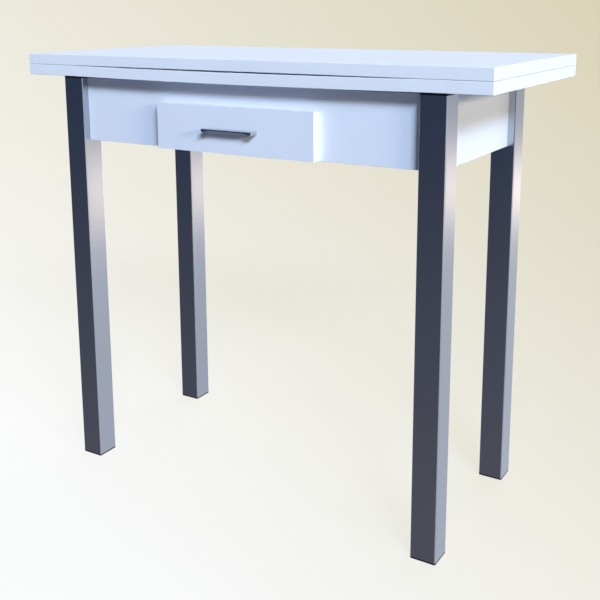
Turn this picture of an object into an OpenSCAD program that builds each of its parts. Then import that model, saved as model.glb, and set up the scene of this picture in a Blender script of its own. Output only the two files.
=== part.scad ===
// Folding kitchen table: a book top of two leaves turns a quarter turn on a steel frame,
// then the upper leaf folds out. One drawer in the front rail.
// Millimetres, +Z up. X runs along the long side, the drawer faces -Y, the floor is Z = 0.
// The origin is the middle of the box that the closed table fills, on the floor.

/* [Top] */
// Height of the closed table
table_height = 786; // [740:1:840]
// Length of the top along X
leaf_length = 900; // [820:5:1000]
// Width of one leaf along Y
leaf_width = 420; // [390:1:450]
// Thickness of one leaf
leaf_thick = 19; // [16:0.5:25]
// Slit between the two closed leaves
leaf_gap = 0.4; // [0.3:0.1:2]
// Thickness of the plastic edge band
band_thick = 1; // [0.5:0.1:1.2]
// How far the middle of the closed top lies behind the middle of the frame
top_set_back = 18; // [0:1:30]
// Free height between the turning top and the leg caps
turn_gap = 0.3; // [0.2:0.1:1]

/* [Legs] */
// Length of the frame over the legs
frame_length = 754; // [700:1:800]
// Depth of the frame over the legs
frame_depth = 356; // [340:1:380]
// Outer width of the square leg tube
leg_size = 44; // [40:1:50]
// Wall of the leg tube
leg_wall = 1.5; // [1:0.1:3]
// Outer corner radius of the leg tube
leg_corner_r = 3; // [2:0.5:5]
// Height of the foot cap that shows below the tube
foot_height = 3; // [2:0.5:8]
// Height of the top cap that shows above the tube
cap_height = 4.5; // [4:0.5:8]
// Depth of the plug of each cap inside the tube
plug_depth = 15; // [10:1:20]
// Wall of the plug
plug_wall = 2.5; // [1.5:0.1:4]
// Play of the plug in the tube, each side
plug_fit = 0.1; // [0.05:0.01:0.3]

/* [Rails] */
// Height of the rails
rail_height = 114; // [108:1:140]
// Thickness of the rails
rail_thick = 16; // [12:1:19]
// How far the rails sit back from the outer faces of the legs
rail_setback = 14; // [8:1:18]

/* [Corner brackets] */
// Height of a corner bracket
bracket_height = 60; // [50:1:70]
// Sheet thickness of a corner bracket
bracket_thick = 2.5; // [2:0.1:4]
// Distance from the leg to the bend of the bracket
bracket_reach = 26; // [24:1:40]
// Length of each wing of the bracket
bracket_wing = 34; // [26:1:60]
// Distance from the edges of a bracket to its screws
bracket_screw_inset = 12; // [9:1:14]
// Distance from the top of the rails to the bracket
bracket_drop = 20; // [18:1:30]
// Distance between the two bolts of a bracket
bolt_spacing = 30; // [24:1:40]
// Radius of the bracket bolts
bolt_r = 4; // [3:0.5:5]
// Free length of a bolt under its head
bolt_length = 27; // [25:1:32]
// Width across the flats of the bolt head
bolt_head_flats = 13; // [10:1:17]
// Height of the bolt head
bolt_head_height = 5.3; // [4:0.1:8]
// Side of the nut block in the corner of the tube
nut_block_side = 20; // [16:1:24]
// Height of the nut block
nut_block_height = 50; // [44:1:60]

/* [Pivot] */
// Width of the pivot board
pivot_board_width = 110; // [100:1:160]
// Thickness of the pivot board
pivot_board_thick = 16; // [14:1:22]
// Side of the square pivot plate under the lower leaf
plate_side = 100; // [95:1:120]
// Thickness of the pivot plate
plate_thick = 2.8; // [2:0.1:3.2]
// Corner radius of the pivot plate
plate_corner_r = 8; // [3:1:9]
// Distance from the edge of the plate to its screws
plate_screw_inset = 12; // [9:1:14]
// Radius of the pivot stud
stud_r = 6; // [5:0.5:8]
// Running clearance of the stud in its bush
stud_fit = 0.06; // [0.02:0.01:0.1]
// Wall of the pivot bush
bush_wall = 3; // [2:0.5:4]
// Radius of the flange of the bush
bush_flange_r = 14; // [13:0.5:16]
// Radius of the washer under the pivot board
washer_r = 14; // [13:0.5:18]
// Thickness of the washer
washer_thick = 2.5; // [1.5:0.5:3]
// Width across the flats of the locking nut
nut_flats = 19; // [17:1:24]
// Height of the hexagon of the locking nut
nut_height = 9; // [7:0.5:10]
// Radius of the round nylon collar of the nut
nut_collar_r = 8.3; // [7.8:0.1:9]
// Height of the round nylon collar of the nut
nut_collar_height = 3; // [2:0.5:4]
// Length of stud that shows below the nut
stud_tip = 2; // [1:0.5:3]
// Radius of the arc that the stop pin runs in
stop_arc_r = 36; // [30:1:38]
// Radius of the stop pin
stop_pin_r = 3; // [2.5:0.1:3.5]
// Play of the stop pin in its slot, each side
stop_play = 0.3; // [0.2:0.1:0.6]
// Depth of the stop pin in the pivot board
stop_pin_depth = 12; // [10:1:13]

/* [Hinges] */
// Number of hinges along the back edge
hinge_count = 3; // [2:1:5]
// Length of one hinge
hinge_length = 60; // [40:1:80]
// Distance from the end of the top to the middle of the first hinge
hinge_inset = 90; // [60:1:140]
// Width of a hinge leaf down the edge of the board
hinge_width = 14; // [13:0.5:15]
// Sheet thickness of a hinge leaf
hinge_thick = 1.5; // [1.2:0.1:2]
// Outer radius of the hinge knuckles
knuckle_r = 2.2; // [2:0.1:2.6]
// Number of knuckles of one hinge
knuckle_count = 5; // [3:2:7]
// Radius of the hinge pin
hinge_pin_r = 1.1; // [0.8:0.1:1.3]
// Running clearance of the hinge pin
hinge_pin_fit = 0.05; // [0.02:0.01:0.1]
// Gap between neighbouring knuckles and between the unfolded leaves
hinge_play = 0.3; // [0.2:0.05:0.5]

/* [Drawer] */
// Width of the drawer front
drawer_front_width = 314; // [280:1:360]
// Height of the drawer front
drawer_front_height = 79; // [72:1:84]
// Thickness of the drawer front
drawer_front_thick = 16; // [12:1:19]
// Gap between the closed drawer front and the rail
drawer_front_gap = 0.3; // [0.2:0.1:2]
// How far the drawer front covers the rail at each side
drawer_lap_side = 14; // [10:1:20]
// How far the drawer front covers the rail above the opening
drawer_lap_top = 10; // [8:1:16]
// How far the drawer front covers the rail below the opening
drawer_lap_bottom = 14; // [12:1:20]
// Free width between the drawer box and the opening, each side
drawer_side_play = 4; // [2:0.5:6]
// Free height between the drawer box and the opening, above and below
drawer_top_play = 4; // [2:0.5:6]
// Length of the drawer box behind the front
drawer_box_length = 285; // [240:1:290]
// Thickness of the boards of the drawer box
drawer_board = 15; // [13:1:16]
// Thickness of the drawer bottom
drawer_bottom_thick = 3; // [3:0.5:5]
// Height of the drawer bottom above the lower edge of the box
drawer_bottom_lift = 10; // [9:0.5:12]
// Depth of the groove that holds the drawer bottom
drawer_groove = 5; // [3:0.5:6]
// Play of the drawer bottom in its groove
drawer_groove_fit = 0.1; // [0.05:0.05:0.3]
// Radius of the dowels of the drawer box
dowel_r = 3; // [2.5:0.5:3.5]
// Distance from the edge of a board to the middle of a dowel
dowel_inset = 5; // [4.5:0.5:6]
// Depth of a dowel in the face of a board
dowel_face_depth = 9; // [6:1:10]
// Depth of a dowel in the end of a board
dowel_end_depth = 14; // [10:1:20]

/* [Runners] */
// Height of the runner strip in the groove
runner_height = 12; // [10:1:14]
// Height of the foot of the runner on its board
runner_foot_height = 22; // [18:1:26]
// Thickness of the foot of the runner
runner_foot_thick = 2; // [1:0.5:3]
// How far the strip reaches into the groove of the drawer side
runner_bite = 6.5; // [4:0.5:8]
// Play of the runner in its groove
runner_play = 0.3; // [0.3:0.1:0.6]
// Thickness of the board that carries a runner
runner_board_thick = 16; // [12:1:19]
// Height of the board that carries a runner
runner_board_height = 40; // [32:1:46]
// Distance from the ends of the runner to its screws
runner_screw_inset = 40; // [20:1:60]
// Gap between the back end of the runner and the back rail
runner_back_gap = 30; // [10:1:60]
// Length of the slanted nose of the runner
runner_nose = 8; // [4:1:12]
// Depth of the screw heads in the runner
runner_head_depth = 2; // [1.5:0.1:3]

/* [Handle] */
// Length of the handle
handle_length = 100; // [80:1:140]
// Height of the two ends of the handle
handle_height = 5.5; // [5:0.5:8]
// Thickness of the handle plate between its ends
handle_thick = 3; // [2.5:0.1:4]
// How far the handle stands out from the drawer front
handle_reach = 17.6; // [14:0.1:30]
// Width of each end of the handle, which holds a screw
handle_post = 8; // [6:0.5:12]
// Length of the slope from each end of the handle up to its plate
handle_slope = 7; // [3:0.5:10]
// Radius of the handle screws
handle_screw_r = 1.6; // [1.25:0.05:1.75]
// Depth of a handle screw in its end of the handle
handle_screw_bite = 9; // [6:1:12]

/* [Angle brackets] */
// Length of each leg of a small angle bracket
angle_leg = 25; // [20:1:35]
// Width of a small angle bracket
angle_width = 18; // [14:1:24]
// Sheet thickness of a small angle bracket
angle_thick = 2; // [1.5:0.1:3]
// Distance from the bend to the screw hole
angle_hole = 15; // [12:1:18]

/* [Screws] */
// Radius of the wood screws
screw_r = 1.75; // [1.5:0.05:2]
// Radius of a pan head
pan_head_r = 3.3; // [3:0.1:4]
// Radius of the flat on top of a pan head
pan_flat_r = 2.3; // [1.8:0.1:2.8]
// Height of a pan head
pan_head_height = 2; // [1.5:0.1:3]
// Radius of a countersunk head
flat_head_r = 3.2; // [3:0.1:3.6]
// Depth of a screw in the board
screw_bite = 11; // [8:1:11.5]
// Depth of a hinge screw in the edge of the board
hinge_screw_bite = 18; // [12:1:24]
// Radial clearance of a screw in its pilot hole
pilot_fit = 0.05; // [0.02:0.01:0.1]
// Radial clearance of a screw or bolt in a sheet
sheet_fit = 0.25; // [0.1:0.05:0.5]

/* [Hidden] */
$fn = 48;

white = [0.93, 0.94, 0.97];
band_white = [0.9, 0.91, 0.95];
steel_grey = [0.55, 0.58, 0.64];
cap_black = [0.06, 0.06, 0.07];
zinc = [0.72, 0.73, 0.75];
chrome = [0.85, 0.86, 0.88];
nylon = [0.9, 0.9, 0.86];
hardboard = [0.86, 0.85, 0.82];
beech = [0.8, 0.66, 0.47];

front = -1;
back = 1;
left = -1;
right = 1;
// Extra length of each cut past the face that it starts from
cut = 1;

// Smallest inner corner radius of the leg tube
least_corner_r = 0.4;

// Heights
top_thick = 2 * leaf_thick + leaf_gap;
leaf_under_z = table_height - top_thick;
lower_top_z = leaf_under_z + leaf_thick;
hinge_z = lower_top_z + leaf_gap / 2;
leg_top_z = leaf_under_z - turn_gap - cap_height;
leg_length = leg_top_z - foot_height;
rail_bottom_z = leg_top_z - rail_height;

// Places in the frame, measured from its middle
frame_half_x = frame_length / 2;
frame_half_y = frame_depth / 2;
rail_inner = rail_setback + rail_thick;
rail_face_y = frame_half_y - rail_setback;
inner_y = frame_half_y - rail_inner;
rail_half_x = frame_half_x - leg_size;
rail_half_y = frame_half_y - leg_size;
top_front_y = top_set_back - leaf_width / 2;
top_back_y = top_set_back + leaf_width / 2;
hinge_y = top_back_y + hinge_play / 2;

// The seam comes to the middle of the frame after a quarter turn about this point
pivot_x = hinge_y / 2;
pivot_y = hinge_y / 2;

// Pivot heights
pivot_board_z = leg_top_z - pivot_board_thick;
plate_z = leaf_under_z - plate_thick;
washer_z = pivot_board_z - turn_gap - washer_thick;
nut_z = washer_z - nut_height;
stud_bottom_z = nut_z - nut_collar_height - stud_tip;
bush_r = stud_r + stud_fit + bush_wall;
bush_flange_thick = cap_height - plate_thick;
stop_slot_r = stop_pin_r + stop_play;
// The stop pin stands at this angle from the pivot, clear of the plate's screws
stop_angle = -45;
quarter_turn = 90;
stop_x = pivot_x + stop_arc_r * cos(stop_angle);
stop_y = pivot_y + stop_arc_r * sin(stop_angle);
plate_screw_half = plate_side / 2 - plate_screw_inset;

// Hinges, from their axis
hinge_pitch = (leaf_length - 2 * hinge_inset) / (hinge_count - 1);
hinge_screw_pitch = hinge_length / 3;
hinge_screw_drop = -leaf_gap / 2 - (hinge_width + knuckle_r) / 2;

// Drawer
drawer_face_y = -rail_face_y - drawer_front_gap - drawer_front_thick;
drawer_back_face_y = drawer_face_y + drawer_front_thick;
opening_half_x = drawer_front_width / 2 - drawer_lap_side;
opening_z0 = rail_bottom_z + drawer_lap_bottom;
opening_z1 = rail_bottom_z + drawer_front_height - drawer_lap_top;
box_half_x = opening_half_x - drawer_side_play;
box_z0 = opening_z0 + drawer_top_play;
box_z1 = opening_z1 - drawer_top_play;
box_inner_x = box_half_x - drawer_board;
bottom_z = box_z0 + drawer_bottom_lift;
box_end_y = drawer_back_face_y + drawer_box_length;
dowel_length = dowel_face_depth + dowel_end_depth;
runner_z = (box_z0 + box_z1) / 2;
runner_groove_depth = runner_bite + runner_play;
runner_reach = drawer_side_play + runner_bite;
runner_length = 2 * inner_y - runner_back_gap;
handle_z = rail_bottom_z + drawer_front_height / 2;
handle_face_y = drawer_face_y - handle_reach;
handle_screw_x = handle_length / 2 - handle_post / 2;

// Corner brackets, in the coordinates of one corner of the frame
bend_at = leg_size + bracket_reach;
bracket_bottom_z = leg_top_z - bracket_drop - bracket_height;
bracket_middle_z = bracket_bottom_z + bracket_height / 2;
bolt_axis_far = (bend_at + rail_inner) / 2 + bracket_thick / sqrt(2);
bracket_screw_x = bend_at + bracket_wing - bracket_screw_inset;
bracket_screw_rise = bracket_height / 2 - bracket_screw_inset;

tube_inner_r = max(leg_corner_r - leg_wall, least_corner_r);

// The box that the table fills, front to back, sets the origin
reach_front = min(handle_face_y, top_front_y);
reach_back = hinge_y + knuckle_r;
origin_y = -(reach_front + reach_back) / 2;

module placed() {
  translate([0, origin_y, 0]) children();
}

// The front left corner of the frame, turned to any corner.
// X and Y run inwards from the outer corner of the leg.
module at_corner(side_y, side_x) {
  placed()
    mirror([side_x > 0 ? 1 : 0, 0, 0])
      mirror([0, side_y > 0 ? 1 : 0, 0])
        translate([-frame_half_x, -frame_half_y, 0])
          children();
}

module at_each_corner() {
  for (side_y = [front, back], side_x = [left, right])
    at_corner(side_y, side_x) children();
}

// A square with round corners, from its own corner outwards
module round_square(size, r) {
  translate([r, 0]) square([size - 2 * r, size]);
  translate([0, r]) square([size, size - 2 * r]);
  for (x = [r, size - r], y = [r, size - r])
    translate([x, y]) circle(r);
}

// A block from one corner to the opposite one
module block(low, high) {
  translate(low) cube(high - low);
}

// Screws: the head sits on Z = 0 and the shank points down
module pan_screw(sheet) {
  cylinder(h = pan_head_height, r1 = pan_head_r, r2 = pan_flat_r);
  translate([0, 0, -screw_bite - sheet]) cylinder(h = screw_bite + sheet, r = screw_r);
}

module flat_screw(head, sheet, bite) {
  translate([0, 0, -head]) cylinder(h = head, r1 = screw_r, r2 = flat_head_r - pilot_fit);
  translate([0, 0, -bite - sheet]) cylinder(h = bite + sheet, r = screw_r);
}

module flat_screw_seat(head, sheet) {
  translate([0, 0, -head]) cylinder(h = head, r1 = screw_r + pilot_fit, r2 = flat_head_r);
  translate([0, 0, -sheet - cut]) cylinder(h = sheet + 2 * cut, r = screw_r + pilot_fit);
}

// Pilot hole for a screw whose sheet rests on the board at Z = 0
module pilot(bite) {
  translate([0, 0, -bite - pilot_fit]) cylinder(h = bite + pilot_fit + cut, r = screw_r + pilot_fit);
}

module sheet_hole(sheet, r) {
  translate([0, 0, -cut]) cylinder(h = sheet + 2 * cut, r = r + sheet_fit);
}

// Legs and their caps
module leg(side_y, side_x) {
  color(steel_grey) at_corner(side_y, side_x)
    difference() {
      translate([0, 0, foot_height]) linear_extrude(leg_length)
        difference() {
          round_square(leg_size, leg_corner_r);
          translate([leg_wall, leg_wall]) round_square(leg_size - 2 * leg_wall, tube_inner_r);
        }
      each_bolt_axis() translate([0, 0, -bolt_length]) cylinder(h = bolt_length, r = bolt_r + sheet_fit);
    }
}

// Solid of a cap: a plate with a hollow plug that points up, its plate from Z = 0
module cap(height) {
  plug_inset = leg_wall + plug_fit;
  plug_size = leg_size - 2 * plug_inset;
  hollow = plug_inset + plug_wall;
  linear_extrude(height) round_square(leg_size, leg_corner_r);
  translate([0, 0, height]) linear_extrude(plug_depth)
    difference() {
      translate([plug_inset, plug_inset]) round_square(plug_size, tube_inner_r);
      translate([hollow, hollow]) square(leg_size - 2 * hollow);
    }
}

module foot_cap(side_y, side_x) {
  color(cap_black) at_corner(side_y, side_x) cap(foot_height);
}

module top_cap(side_y, side_x) {
  color(cap_black) at_corner(side_y, side_x)
    translate([0, 0, leg_top_z + cap_height]) mirror([0, 0, 1]) cap(cap_height);
}

// Rails
module front_rail() {
  color(white) difference() {
    placed() difference() {
      block([-rail_half_x, -rail_face_y, rail_bottom_z], [rail_half_x, -inner_y, leg_top_z]);
      block([-opening_half_x, -rail_face_y - cut, opening_z0], [opening_half_x, -inner_y + cut, opening_z1]);
    }
    for (side_x = [left, right]) at_corner(front, side_x) each_wing_screw(0) pilot(screw_bite);
    each_angle() angle_rail_screw() pilot(screw_bite);
  }
}

module back_rail() {
  color(white) difference() {
    placed() block([-rail_half_x, inner_y, rail_bottom_z], [rail_half_x, rail_face_y, leg_top_z]);
    for (side_x = [left, right]) at_corner(back, side_x) each_wing_screw(0) pilot(screw_bite);
    each_angle() angle_rail_screw() pilot(screw_bite);
  }
}

module side_rail(side_x) {
  color(white) difference() {
    placed() mirror([side_x > 0 ? 1 : 0, 0, 0])
      block([-frame_half_x + rail_setback, -rail_half_y, rail_bottom_z],
            [-frame_half_x + rail_inner, rail_half_y, leg_top_z]);
    for (side_y = [front, back]) at_corner(side_y, side_x) each_wing_screw(1) pilot(screw_bite);
  }
}

// Corner brackets: a diagonal web between two wings, one on each rail
module each_bolt_axis() {
  for (rise = [-bolt_spacing / 2, bolt_spacing / 2])
    translate([bolt_axis_far, bolt_axis_far, bracket_middle_z + rise])
      rotate([0, 0, 45]) rotate([0, 90, 0]) children();
}

// Screws of one wing, on the rail's inner face: wing 0 lies on the long rail, wing 1 on the side rail
module each_wing_screw(wing) {
  for (rise = [-bracket_screw_rise, bracket_screw_rise])
    if (wing == 0)
      translate([bracket_screw_x, rail_inner, bracket_middle_z + rise]) rotate([-90, 0, 0]) children();
    else
      translate([rail_inner, bracket_screw_x, bracket_middle_z + rise]) rotate([0, 90, 0]) children();
}

module corner_bracket(side_y, side_x) {
  skin = rail_inner + bracket_thick;
  bend_far = bend_at + bracket_thick * (sqrt(2) - 1);
  wing_end = bend_at + bracket_wing;
  color(zinc) at_corner(side_y, side_x)
    difference() {
      translate([0, 0, bracket_bottom_z]) linear_extrude(bracket_height)
        polygon([
          [bend_at, rail_inner], [wing_end, rail_inner], [wing_end, skin], [bend_far, skin],
          [skin, bend_far], [skin, wing_end], [rail_inner, wing_end], [rail_inner, bend_at]
        ]);
      each_bolt_axis() translate([0, 0, -bracket_thick]) sheet_hole(bracket_thick, bolt_r);
      for (wing = [0, 1]) each_wing_screw(wing) sheet_hole(bracket_thick, screw_r);
    }
}

module bracket_screws() {
  color(zinc) at_each_corner() for (wing = [0, 1])
    each_wing_screw(wing) translate([0, 0, bracket_thick]) pan_screw(bracket_thick);
}

module bracket_bolts() {
  color(zinc) at_each_corner() each_bolt_axis() {
    cylinder(h = bolt_head_height, r = bolt_head_flats / sqrt(3), $fn = 6);
    translate([0, 0, -bolt_length]) cylinder(h = bolt_length, r = bolt_r);
  }
}

// Threaded blocks inside the tubes, in the corner that the bolts enter
module nut_blocks() {
  far = leg_size - leg_wall;
  near = far - nut_block_side;
  color(zinc) at_each_corner() difference() {
    translate([0, 0, bracket_middle_z - nut_block_height / 2]) linear_extrude(nut_block_height)
      polygon([[near, far], [far - tube_inner_r, far], [far, far - tube_inner_r], [far, near]]);
    each_bolt_axis() translate([0, 0, -bolt_length - cut])
      cylinder(h = bolt_length + cut, r = bolt_r + pilot_fit);
  }
}

// Small angle brackets: one leg lies on Z = 0, the other on X = 0
module angle_bracket() {
  difference() {
    union() {
      block([0, -angle_width / 2, 0], [angle_leg, angle_width / 2, angle_thick]);
      block([0, -angle_width / 2, 0], [angle_thick, angle_width / 2, angle_leg]);
    }
    angle_board_screw() sheet_hole(angle_thick, screw_r);
    angle_rail_screw() sheet_hole(angle_thick, screw_r);
  }
}

module angle_board_screw() {
  translate([angle_hole, 0, 0]) children();
}

module angle_rail_screw() {
  translate([0, 0, angle_hole]) rotate([0, 90, 0]) children();
}

// Places of the angle brackets: two at each end of the pivot board, one at each end of a runner board.
// The leg on X = 0 lies on a long rail.
module each_angle() {
  shift = pivot_board_width / 2 - angle_width;
  placed() for (side_y = [front, back]) mirror([0, side_y > 0 ? 0 : 1, 0]) {
    for (x = [pivot_x - shift, pivot_x + shift])
      translate([x, inner_y, pivot_board_z]) rotate([180, 0, -90]) children();
    for (side_x = [left, right]) mirror([side_x > 0 ? 0 : 1, 0, 0])
      translate([opening_half_x + runner_board_thick, inner_y, runner_z])
        rotate([-90, 0, -90]) children();
  }
}

module angle_brackets() {
  color(zinc) each_angle() angle_bracket();
}

module angle_screws() {
  color(zinc) each_angle() {
    angle_board_screw() translate([0, 0, angle_thick]) pan_screw(angle_thick);
    angle_rail_screw() translate([0, 0, angle_thick]) pan_screw(angle_thick);
  }
}

// Pivot: a board between the long rails carries a bush, in which the stud of the pivot plate turns
module pivot_board() {
  color(beech) difference() {
    placed() difference() {
      block([pivot_x - pivot_board_width / 2, -inner_y, pivot_board_z],
            [pivot_x + pivot_board_width / 2, inner_y, leg_top_z]);
      translate([pivot_x, pivot_y, pivot_board_z - cut])
        cylinder(h = pivot_board_thick + 2 * cut, r = bush_r + pilot_fit);
      translate([stop_x, stop_y, leg_top_z - stop_pin_depth])
        cylinder(h = stop_pin_depth + cut, r = stop_pin_r + pilot_fit);
    }
    each_angle() angle_board_screw() pilot(screw_bite);
  }
}

module pivot_bush() {
  color(nylon) placed() translate([pivot_x, pivot_y, 0])
    difference() {
      union() {
        translate([0, 0, pivot_board_z]) cylinder(h = pivot_board_thick, r = bush_r);
        translate([0, 0, leg_top_z]) cylinder(h = bush_flange_thick, r = bush_flange_r);
      }
      translate([0, 0, pivot_board_z - cut])
        cylinder(h = pivot_board_thick + bush_flange_thick + 2 * cut, r = stud_r + stud_fit);
    }
}

module stop_pin() {
  color(zinc) placed() translate([stop_x, stop_y, leg_top_z - stop_pin_depth])
    cylinder(h = stop_pin_depth + cap_height, r = stop_pin_r);
}

// Quarter slot in which the stop pin stays while the plate turns, ending where the pin rests
module stop_slot() {
  rotate(stop_angle - quarter_turn) {
    intersection() {
      difference() {
        circle(stop_arc_r + stop_slot_r);
        circle(stop_arc_r - stop_slot_r);
      }
      square(plate_side);
    }
    for (turn = [0, quarter_turn])
      rotate(turn) translate([stop_arc_r, 0]) circle(stop_slot_r);
  }
}

module each_plate_screw() {
  for (x = [-plate_screw_half, plate_screw_half], y = [-plate_screw_half, plate_screw_half])
    translate([x, y, 0]) rotate([180, 0, 0]) children();
}

module pivot_plate() {
  color(zinc) placed() translate([pivot_x, pivot_y, 0]) {
    difference() {
      translate([0, 0, plate_z]) linear_extrude(plate_thick)
        difference() {
          translate([-plate_side / 2, -plate_side / 2]) round_square(plate_side, plate_corner_r);
          stop_slot();
        }
      translate([0, 0, plate_z]) each_plate_screw() flat_screw_seat(plate_thick, plate_thick);
    }
    translate([0, 0, stud_bottom_z]) cylinder(h = plate_z + plate_thick - stud_bottom_z, r = stud_r);
  }
}

module pivot_plate_screws() {
  color(zinc) placed() translate([pivot_x, pivot_y, plate_z])
    each_plate_screw() flat_screw(plate_thick, plate_thick, screw_bite);
}

module pivot_washer() {
  color(zinc) placed() translate([pivot_x, pivot_y, washer_z])
    difference() {
      cylinder(h = washer_thick, r = washer_r);
      translate([0, 0, -cut]) cylinder(h = washer_thick + 2 * cut, r = stud_r + pilot_fit);
    }
}

module pivot_nut() {
  color(zinc) placed() translate([pivot_x, pivot_y, nut_z])
    difference() {
      union() {
        cylinder(h = nut_height, r = nut_flats / sqrt(3), $fn = 6);
        translate([0, 0, -nut_collar_height]) cylinder(h = nut_collar_height, r = nut_collar_r);
      }
      translate([0, 0, -nut_collar_height - cut])
        cylinder(h = nut_height + nut_collar_height + 2 * cut, r = stud_r + pilot_fit);
    }
}

// The leaves are drawn about the hinge axis, with the lower half of each hinge below it,
// and the upper leaf mirrors the lower one
module at_hinge_axis(upper) {
  placed() translate([0, hinge_y, hinge_z]) mirror([0, 0, upper ? 1 : 0]) children();
}

module each_hinge() {
  for (i = [0 : hinge_count - 1])
    translate([-leaf_length / 2 + hinge_inset + i * hinge_pitch, 0, 0]) children();
}

module leaf_block(inset, over) {
  edge_y = -hinge_play / 2;
  block([-leaf_length / 2 + inset, edge_y - leaf_width + inset, -leaf_gap / 2 - leaf_thick - over],
        [leaf_length / 2 - inset, edge_y - inset, -leaf_gap / 2 + over]);
}

module hinge_seat() {
  block([-hinge_length / 2, -hinge_play / 2 - hinge_thick, -leaf_gap / 2 - hinge_width],
        [hinge_length / 2, cut, cut]);
  translate([-hinge_length / 2, 0, 0]) rotate([0, 90, 0])
    cylinder(h = hinge_length, r = knuckle_r + hinge_play);
}

module each_hinge_screw() {
  for (x = [-hinge_screw_pitch, 0, hinge_screw_pitch])
    translate([x, -hinge_play / 2, hinge_screw_drop]) rotate([-90, 0, 0]) children();
}

module leaf_board(upper) {
  color(white) difference() {
    at_hinge_axis(upper) difference() {
      leaf_block(band_thick, 0);
      each_hinge() {
        hinge_seat();
        each_hinge_screw() translate([0, 0, -hinge_thick]) pilot(hinge_screw_bite);
      }
    }
    if (!upper)
      placed() translate([pivot_x, pivot_y, leaf_under_z]) each_plate_screw() pilot(screw_bite);
  }
}

module leaf_band(upper) {
  color(band_white) at_hinge_axis(upper) difference() {
    leaf_block(0, 0);
    leaf_block(band_thick, cut);
    each_hinge() hinge_seat();
  }
}

// Every second knuckle of a hinge, from the first one given
module knuckles(first, r, extra) {
  pitch = hinge_length / knuckle_count;
  for (i = [first : 2 : knuckle_count - 1])
    translate([-hinge_length / 2 + i * pitch + hinge_play / 2 - extra, 0, 0])
      rotate([0, 90, 0]) cylinder(h = pitch - hinge_play + 2 * extra, r = r);
}

module hinge_halves(upper) {
  first = upper ? 1 : 0;
  color(zinc) at_hinge_axis(upper) each_hinge() difference() {
    union() {
      block([-hinge_length / 2, -hinge_play / 2 - hinge_thick, -leaf_gap / 2 - hinge_width],
            [hinge_length / 2, -hinge_play / 2, -leaf_gap / 2]);
      knuckles(first, knuckle_r, 0);
    }
    knuckles(1 - first, knuckle_r + hinge_play, hinge_play / 2);
    translate([-hinge_length / 2 - cut, 0, 0]) rotate([0, 90, 0])
      cylinder(h = hinge_length + 2 * cut, r = hinge_pin_r + hinge_pin_fit);
    each_hinge_screw() flat_screw_seat(hinge_thick, hinge_thick);
  }
}

module hinge_pins() {
  color(zinc) at_hinge_axis(false) each_hinge()
    translate([-hinge_length / 2, 0, 0]) rotate([0, 90, 0]) cylinder(h = hinge_length, r = hinge_pin_r);
}

module hinge_screws(upper) {
  color(zinc) at_hinge_axis(upper) each_hinge()
    each_hinge_screw() flat_screw(hinge_thick, hinge_thick, hinge_screw_bite);
}

// Runners: plastic strips on boards beside the opening, in grooves of the drawer sides
module runner_side(side_x) {
  placed() mirror([side_x > 0 ? 0 : 1, 0, 0]) children();
}

module runner_board(side_x) {
  color(beech) difference() {
    runner_side(side_x)
      block([opening_half_x, -inner_y, runner_z - runner_board_height / 2],
            [opening_half_x + runner_board_thick, inner_y, runner_z + runner_board_height / 2]);
    each_angle() angle_board_screw() pilot(screw_bite);
    runner_side(side_x) each_runner_screw() translate([0, 0, -runner_reach]) pilot(screw_bite);
  }
}

module each_runner_screw() {
  for (y = [runner_screw_inset, runner_length / 2, runner_length - runner_screw_inset])
    translate([opening_half_x - runner_reach, -inner_y + y, runner_z]) rotate([0, -90, 0]) children();
}

module runner(side_x) {
  tip = opening_half_x - runner_reach;
  color(nylon) runner_side(side_x) difference() {
    union() {
      translate([0, 0, runner_z - runner_height / 2]) linear_extrude(runner_height)
        polygon([
          [opening_half_x, -inner_y], [tip + runner_nose / 2, -inner_y], [tip, -inner_y + runner_nose],
          [tip, -inner_y + runner_length], [opening_half_x, -inner_y + runner_length]
        ]);
      block([opening_half_x - runner_foot_thick, -inner_y, runner_z - runner_foot_height / 2],
            [opening_half_x, -inner_y + runner_length, runner_z + runner_foot_height / 2]);
    }
    each_runner_screw() flat_screw_seat(runner_head_depth, runner_reach);
  }
}

module runner_screws() {
  color(zinc) for (side_x = [left, right]) runner_side(side_x)
    each_runner_screw() flat_screw(runner_head_depth, runner_reach, screw_bite);
}

// Drawer
module bottom_space(play) {
  block([-box_inner_x - drawer_groove + play, drawer_back_face_y - drawer_groove + play, bottom_z + play],
        [box_inner_x + drawer_groove - play, box_end_y - drawer_board + drawer_groove - play,
         bottom_z + drawer_bottom_thick + 2 * drawer_groove_fit - play]);
}

module each_box_dowel(extra) {
  for (side_x = [left, right], z = [box_z0 + dowel_inset, box_z1 - dowel_inset])
    mirror([side_x > 0 ? 0 : 1, 0, 0]) {
      translate([box_inner_x + drawer_board / 2, drawer_back_face_y - dowel_face_depth - extra, z])
        rotate([-90, 0, 0]) cylinder(h = dowel_length + 2 * extra, r = dowel_r + extra);
      translate([box_inner_x - dowel_end_depth - extra, box_end_y - drawer_board / 2, z])
        rotate([0, 90, 0]) cylinder(h = dowel_length + 2 * extra, r = dowel_r + extra);
    }
}

module each_handle_screw() {
  for (x = [-handle_screw_x, handle_screw_x])
    translate([x, drawer_back_face_y, handle_z]) rotate([-90, 0, 0]) children();
}

module drawer_front() {
  color(white) placed() difference() {
    block([-drawer_front_width / 2, drawer_face_y, rail_bottom_z],
          [drawer_front_width / 2, drawer_back_face_y, rail_bottom_z + drawer_front_height]);
    bottom_space(0);
    each_box_dowel(pilot_fit);
    each_handle_screw() translate([0, 0, -drawer_front_thick])
      sheet_hole(drawer_front_thick, handle_screw_r);
  }
}

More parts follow.
